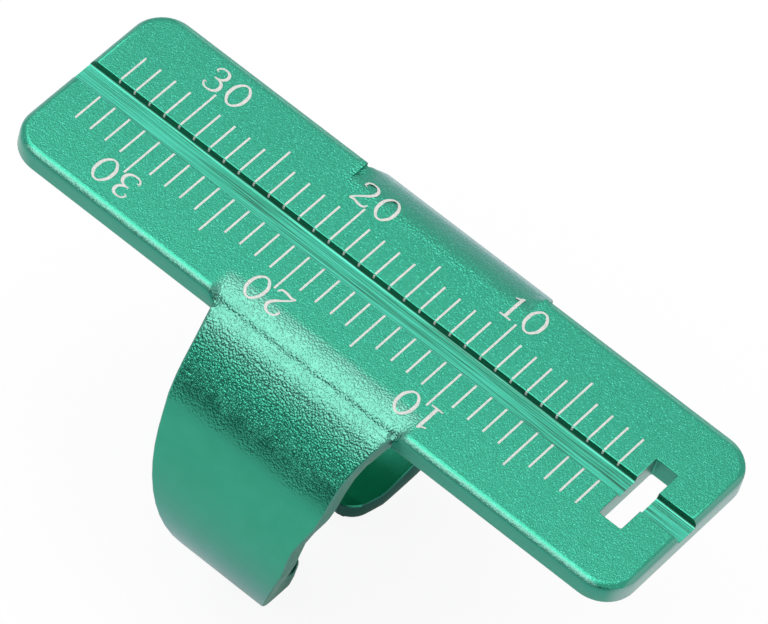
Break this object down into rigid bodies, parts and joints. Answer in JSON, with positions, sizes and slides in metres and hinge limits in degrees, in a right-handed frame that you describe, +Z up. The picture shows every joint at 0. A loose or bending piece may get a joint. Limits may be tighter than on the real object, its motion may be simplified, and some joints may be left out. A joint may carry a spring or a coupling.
{
  "type": "endodontic ring gauge",
  "caption": "Finger-worn millimetre ruler for root canal files: a grooved scale plate with two wings curled into an open, adjustable ring.",
  "frame": {"origin": "on the axis of the finger ring, under the middle of the scale plate", "axes": "+X along the plate and the finger towards the zero end of the scale, +Z up through the scale face, front wing at -Y"},
  "size_m": [0.04, 0.0212, 0.0204],
  "materials": {
    "anodised_sheet": "bead-blasted, green anodised",
    "scale_marks": "bare metal, laser marked"
  },
  "bodies": {
    "plate": {"scale_plate": "anodised_sheet", "front_scale_marks": "scale_marks", "rear_scale_marks": "scale_marks"},
    "front_wing": {"front_wing": "anodised_sheet"},
    "rear_wing": {"rear_wing": "anodised_sheet"}
  },
  "joints": [
    {"name": "front_wing_bend", "type": "hinge", "parent": "plate", "child": "front_wing", "pos_m": [0, -0.0046, 0.00967], "axis": [-1, 0, 0], "range_deg": [-4, 12]},
    {"name": "rear_wing_bend", "type": "hinge", "parent": "plate", "child": "rear_wing", "pos_m": [0, 0.0046, 0.00967], "axis": [1, 0, 0], "range_deg": [-4, 12]}
  ]
}
